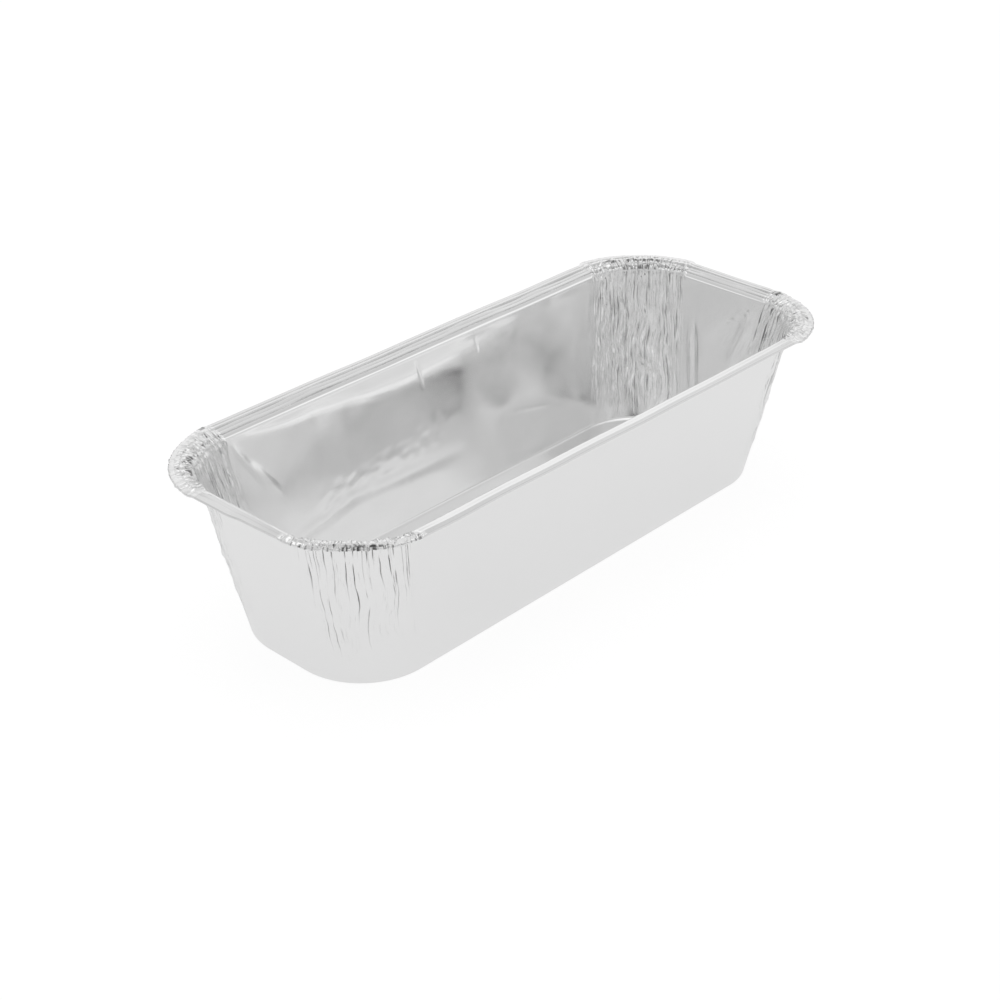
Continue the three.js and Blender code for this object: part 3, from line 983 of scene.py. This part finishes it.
def build_corner(number):
    """The pleated wall and the gathered rim of one corner of the tray."""
    name = STRETCHES[number]
    random = np.random.default_rng(CORNER_SEEDS[name])
    knots, columns = pleat_layout(random)
    apart = smooth_step(0, COLUMN_FADE, from_arc_ends(columns))
    inside = smooth_step(0, RIM_KNOT_FADE, from_arc_ends(knots))
    wall_z = PROFILE_Z[WALL_PART]
    running, reach, fold_shade, rough, draw_first, draw_last = CORNERS[name]
    heights, folded = pleat_heights(random, knots, wall_z, running, reach, rough)
    single = long_tucks(name, knots, wall_z)
    pleats = between_knots(columns, knots, heights + single)
    folds = waves(random, columns[None, :], FOLD_STRETCH * wall_z[:, None], *FOLD_WAVES)
    pleats = pleats + FOLD_HEIGHT * folds * apart * smooth_step(*FOLD_FADE, wall_z)[:, None]
    share = corner_shares(random, columns, apart, draw_first, draw_last)

    out = PROFILE_OUT[:, None] + 0 * share
    out[WALL_PART] -= pleats
    rim_out = PROFILE_OUT[RIM_ROW + 1:, None]
    out[RIM_ROW + 1:] -= pleats[-1] * (1 - smooth_step(0, FLANGE_WIDTH, rim_out))
    out, z = stray_rim(number + columns / CORNER_ARC, out, PROFILE_Z[:, None] + 0 * share)
    dents = random.uniform(0, DENT_DEPTH, len(knots)) * inside
    out += between_knots(columns, knots, dents[None, :]) * PROFILE_BEND[:, None]
    on_riser = np.abs(PROFILE_OUT - FLANGE_WIDTH) < RISER_HALF
    out += (on_riser * RISER_SPREAD * (PROFILE_OUT - FLANGE_WIDTH))[:, None] * apart
    wander = EDGE_WANDER * random.normal(0, 1, len(knots)) * inside
    outward = smooth_step(FLANGE_WIDTH, FLANGE_WIDTH + HEM_WIDTH, PROFILE_OUT)[:, None]
    out += between_knots(columns, knots, wander[None, :]) * outward

    dip, rim_fold_shade = rim_gathers(random, knots, columns, *RIMS[name])
    z[RIM_PART] -= dip
    uneven = np.clip(1 + STEP_SPREAD * random.normal(0, 1, (len(STEPS), len(knots))), 0, 2)
    stepped = 1 + (STEP_SHARE[name] * uneven - 1) * inside
    below, painted_shade = rim_steps(between_knots(columns, knots, stepped))
    z -= below
    # Painted shade in the deep tucks, in the rim's gathers and in its dark pits
    painted_shade[WALL_PART] += fold_shade * between_knots(columns, knots, folded + single)
    painted_shade[RIM_ROW + 1:] += rim_fold_shade[1:]
    painted_shade += rim_pits(random, name, knots, columns)
    wall_and_rim(
        number + share, out, z, painted_shade,
        (f"foil_pleats_{name}", "foil_pleats", [f"heel_corner_{name}", f"pleats_{name}"]),
        (f"foil_gathers_{name}", "foil_pleats", [f"flange_corner_{name}", f"hem_corner_{name}"]),
    )


for stretch in (1, 3, 5, 7):
    build_corner(stretch)

# %% [markdown]
# ## The base
# The base is flat foil. Across the tray its half width follows the outline, so one grid of places
# along and shares across covers it with no pole in the middle. It ripples a little inside its edge.

# %% Build the base
BASE_SEED = 300
BASE_STEP = 1.5
BASE_ARC_COLUMNS = 60
BASE_EDGE_FADE = 8
# Ripples: their number, shortest and longest length, height, and how many pile up at one place
BASE_WAVES = 10
BASE_WAVE_LENGTHS = (25, 70)
BASE_WAVE = 0.06
BASE_WAVES_PILED = 3


def base_columns():
    """Places along the base: even on the straight stretch, and even in angle on the corner arcs."""
    radius = CORNER_RADIUS - HEEL_RADIUS
    straight = BASE_HALF_LENGTH - CORNER_RADIUS
    arc = straight + radius * np.sin(np.linspace(0, math.pi / 2, BASE_ARC_COLUMNS))
    middle = np.linspace(-straight, straight, int(2 * straight / BASE_STEP) + 1)
    return np.concatenate([-arc[:0:-1], middle, arc[1:]])


def build_base():
    """The base panel: half width at each place from the outline's arcs, and shares across it."""
    random = np.random.default_rng(BASE_SEED)
    radius = CORNER_RADIUS - HEEL_RADIUS
    along = base_columns()[None, :]
    past = np.maximum(np.abs(along) - (BASE_HALF_LENGTH - CORNER_RADIUS), 0)
    half = BASE_HALF_WIDTH - CORNER_RADIUS + np.sqrt(np.maximum(radius ** 2 - past ** 2, 0))
    share = np.linspace(1, -1, int(2 * BASE_HALF_WIDTH / BASE_STEP))[:, None]
    across = share * half
    inside = smooth_step(0, BASE_EDGE_FADE, (1 - np.abs(share)) * half)
    inside = inside * smooth_step(0, BASE_EDGE_FADE, along.max() - np.abs(along))
    z = np.zeros_like(across)
    for _ in range(BASE_WAVES):
        length = random.uniform(*BASE_WAVE_LENGTHS)
        heading = random.uniform(0, math.pi)
        phase = random.uniform(0, 6)
        run = along * math.cos(heading) + across * math.sin(heading)
        ripple = 0.5 + 0.5 * np.sin(2 * math.pi * run / length + phase)
        z = z + BASE_WAVE * inside * ripple / BASE_WAVES_PILED
    points = np.stack(np.broadcast_arrays(along, across, z), axis=-1)
    normals = grid_normals(points)
    foil_piece("foil_base", points, normals, points[..., :2], 0 * z, "foil_panel", ["base_panel"])


build_base()

# %% [markdown]
# ## The floor
# The tray stands on a matt white board. To the camera and to the mirror of the foil the board glows
# with a white of its own, and only a darker part of it takes light, so that it stays white and keeps
# a faint shadow. For all other light it is plain white board.

# %% Lay the floor
FLOOR_HALF = 3.0
FLOOR_GAP = 0.2 * MM
BOARD_COLOUR = "#F2F2F2"
SHADOW_COLOUR = "#828282"
GLOW_TO_CAMERA = 0.86
GLOW_TO_FOIL = 0.64


def floor_material():
    """Matt white board: its own white for the camera and the foil, and a part that takes shadow."""
    material = bpy.data.materials.new("matt_white_board")
    material.use_nodes = True
    tree = material.node_tree
    tree.nodes.clear()
    path = add_node(tree, "ShaderNodeLightPath")
    camera_ray = path.outputs["Is Camera Ray"]
    mirrored = add_node(
        tree, "ShaderNodeMath", {"operation": "MAXIMUM"},
        links={0: path.outputs["Is Glossy Ray"], 1: path.outputs["Is Transmission Ray"]},
    ).outputs["Value"]
    either = add_node(
        tree, "ShaderNodeMath", {"operation": "MAXIMUM"}, links={0: camera_ray, 1: mirrored},
    ).outputs["Value"]
    tint = add_node(
        tree, "ShaderNodeMix", {"data_type": "RGBA"},
        {"A": linear(BOARD_COLOUR), "B": linear(SHADOW_COLOUR)}, {"Factor": either},
    ).outputs["Result"]
    board = add_node(tree, "ShaderNodeBsdfDiffuse", links={"Color": tint})
    to_foil = add_node(
        tree, "ShaderNodeMath", {"operation": "MULTIPLY"}, {1: GLOW_TO_FOIL}, {0: mirrored},
    ).outputs["Value"]
    strength = add_node(
        tree, "ShaderNodeMath", {"operation": "MULTIPLY_ADD"}, {1: GLOW_TO_CAMERA},
        {0: camera_ray, 2: to_foil},
    ).outputs["Value"]
    glow = add_node(tree, "ShaderNodeEmission", links={"Strength": strength})
    both = add_node(tree, "ShaderNodeAddShader", links={0: board.outputs[0], 1: glow.outputs[0]})
    add_node(tree, "ShaderNodeOutputMaterial", links={"Surface": both.outputs[0]})
    return material


floor_mesh = bpy.data.meshes.new("floor")
floor_corners = FLOOR_HALF * np.array([(-1, -1), (1, -1), (1, 1), (-1, 1)])
floor_mesh.from_pydata([(x, y, -FLOOR_GAP) for x, y in floor_corners], [], [(0, 1, 2, 3)])
floor_mesh.materials.append(floor_material())
floor = bpy.data.objects.new("floor", floor_mesh)
bpy.context.scene.collection.objects.link(floor)
print("floor", 2 * FLOOR_HALF, "m wide")

# %% [markdown]
# ## The tent
# Bright metal shows its surroundings, so the room matters as much as the foil. It is a white tent:
# bright at the horizon, greyer above, with a soft lamp overhead that tells the hem from the rising
# flange. The side behind the tray is the lit one. Three more soft lamps draw the bright lines along
# the bends of the rim, and one part at the far left is greyer. The opening that the camera looks in
# through is dark, and two dark flags stand behind the tray, as a photographer sets them to draw
# lines in metal: mostly the crumpled corners catch them. The camera sees plain white instead of the
# tent. The foil has to mirror the tent, because in an even white room it would be white all over.

# %% Pitch the tent
LAMP = 1.26
# Brightness of the tent at heights from 0, straight down, to 1, overhead, as shares of the lamp's
TENT_STOPS = [
    (0.0, 0.62), (0.49, 0.68), (0.5, 0.79), (0.535, 0.77), (0.56, 0.68), (0.585, 0.65), (0.67, 0.67),
    (0.75, 0.71), (0.8, 0.64), (0.85, 0.58), (0.9, 0.57), (0.93, 0.65), (0.965, 0.92), (1.0, 1.0),
]
LIT_SIDE = Vector((-towards_camera.x, -towards_camera.y, 0)).normalized()
UNLIT_SHARE = 0.7
# Bright and dark places: direction, how many degrees round it are full and where it ends, and the share
# of the tent's own brightness there
TENT_PLACES = [
    ((0.635, -0.667, 0.39), 5, 14, 1.42),
    ((-0.69, 0.592, 0.42), 4, 9, 1.7),
    ((0.65, 0.73, 0.21), 5, 13, 1.16),
    ((-0.75, 0.6, 0.26), 10, 25, 0.86),
    (towards_camera, 6.5, 12.5, 0.03),
    ((0.97, 0.15, 0.2), 7, 14, 0.1),
    ((0.2, 0.95, 0.22), 7, 14, 0.1),
]

world = bpy.data.worlds.new("white_tent")
bpy.context.scene.world = world
world.use_nodes = True
sky = world.node_tree
sky.nodes.clear()
looking = add_node(sky, "ShaderNodeTexCoord").outputs["Generated"]
upward = add_node(sky, "ShaderNodeSeparateXYZ", links={"Vector": looking}).outputs["Z"]
tent_height = add_node(
    sky, "ShaderNodeMapRange", inputs={"From Min": -1.0, "From Max": 1.0}, links={"Value": upward},
).outputs["Result"]
tent = add_node(sky, "ShaderNodeValToRGB", links={"Fac": tent_height})
stops = tent.color_ramp.elements
while len(stops) < len(TENT_STOPS):
    stops.new(0.5)
for stop, (place, grey) in zip(stops, TENT_STOPS):
    stop.position = place
    stop.color = (grey, grey, grey, 1)
facing_light = add_node(
    sky, "ShaderNodeVectorMath", {"operation": "DOT_PRODUCT"}, {1: LIT_SIDE}, {0: looking},
).outputs["Value"]
strength = add_node(
    sky, "ShaderNodeMapRange",
    inputs={"From Min": -1.0, "From Max": 1.0, "To Min": LAMP * UNLIT_SHARE, "To Max": LAMP},
    links={"Value": facing_light},
).outputs["Result"]
for direction, inner, outer, brightness in TENT_PLACES:
    nearness = add_node(
        sky, "ShaderNodeVectorMath", {"operation": "DOT_PRODUCT"},
        {1: Vector(direction).normalized()}, {0: looking},
    ).outputs["Value"]
    shade = add_node(
        sky, "ShaderNodeMapRange", {"interpolation_type": "SMOOTHSTEP"},
        {"From Min": math.cos(math.radians(outer)), "From Max": math.cos(math.radians(inner)),
         "To Min": 1.0, "To Max": brightness},
        {"Value": nearness},
    ).outputs["Result"]
    strength = add_node(
        sky, "ShaderNodeMath", {"operation": "MULTIPLY"}, links={0: strength, 1: shade},
    ).outputs["Value"]
camera_ray = add_node(sky, "ShaderNodeLightPath").outputs["Is Camera Ray"]
backdrop = add_node(sky, "ShaderNodeBackground", inputs={"Color": (1, 1, 1, 1), "Strength": 1.0})
cloth = add_node(sky, "ShaderNodeBackground", links={"Color": tent.outputs["Color"], "Strength": strength})
chosen = add_node(
    sky, "ShaderNodeMixShader", links={0: camera_ray, 1: cloth.outputs[0], 2: backdrop.outputs[0]},
)
add_node(sky, "ShaderNodeOutputWorld", links={"Surface": chosen.outputs[0]})
print("tent with", len(TENT_STOPS), "greys by height and", len(TENT_PLACES), "bright or dark places")

# %% [markdown]
# ## Finish
# Light bounces many times inside a mirrored bowl, so the path limits are raised until the inside
# stops darkening.

# %% Finish the scene
MOST_BOUNCES = 16
MOST_MIRRORED = 12

scene = bpy.context.scene
scene.cycles.max_bounces = MOST_BOUNCES
scene.cycles.glossy_bounces = MOST_MIRRORED
scene.view_settings.view_transform = "Standard"
